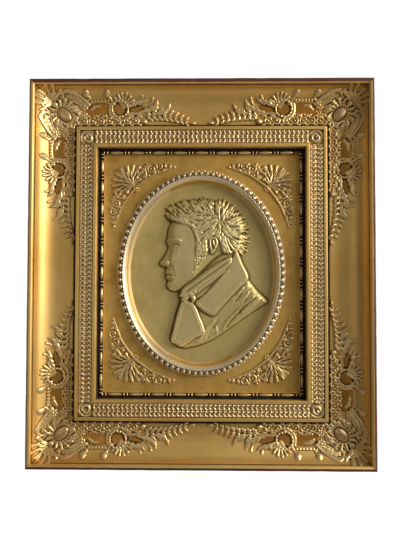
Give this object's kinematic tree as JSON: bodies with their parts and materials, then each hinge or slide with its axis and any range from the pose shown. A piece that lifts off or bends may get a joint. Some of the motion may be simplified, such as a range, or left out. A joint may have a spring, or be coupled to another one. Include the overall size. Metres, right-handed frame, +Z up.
{
  "type": "framed plaster relief medallion",
  "caption": "Oval gilt plaster portrait relief behind a leaf-edged oval opening, in a deep rectangular gilt frame with ornamented corners.",
  "frame": {"origin": "middle of the top rail's back face, 50 mm below the frame's top edge, in the wall plane", "axes": "+Z up, +X to the viewer's right, +Y into the wall, so the relief faces -Y"},
  "size_m": [0.525, 0.06, 0.59],
  "materials": {
    "rail_gilding": "burnished water gilding over red bole on solid timber, worn through on the outer edges",
    "corner_gilding": "gilt pressed composition, bright on the tops and dark brown in the hollows",
    "leaf_band_gilding": "gilt pressed composition with brown dirt between the leaves",
    "bead_gilding": "burnished gilt beads",
    "mat_gilding": "matt and lightly burnished gilding on a flat board",
    "spandrel_gilding": "gilt pressed composition",
    "ring_gilding": "gilt pressed composition, burnished on the leaf tips",
    "medallion_gilding": "plaster with a matt greenish gold finish",
    "backboard_wood": "bare aged pine"
  },
  "bodies": {
    "root": {"top_rail": "rail_gilding", "right_rail": "rail_gilding", "bottom_rail": "rail_gilding", "left_rail": "rail_gilding", "top_leaf_band": "leaf_band_gilding", "right_leaf_band": "leaf_band_gilding", "bottom_leaf_band": "leaf_band_gilding", "left_leaf_band": "leaf_band_gilding", "top_bead_strip": "bead_gilding", "right_bead_strip": "bead_gilding", "bottom_bead_strip": "bead_gilding", "left_bead_strip": "bead_gilding", "top_left_ornament": "corner_gilding", "top_right_ornament": "corner_gilding", "bottom_right_ornament": "corner_gilding", "bottom_left_ornament": "corner_gilding", "top_left_spandrel": "spandrel_gilding", "top_right_spandrel": "spandrel_gilding", "bottom_right_spandrel": "spandrel_gilding", "bottom_left_spandrel": "spandrel_gilding", "mat_panel": "mat_gilding", "oval_ring": "ring_gilding", "medallion": "medallion_gilding", "backboard": "backboard_wood"}
  },
  "joints": []
}
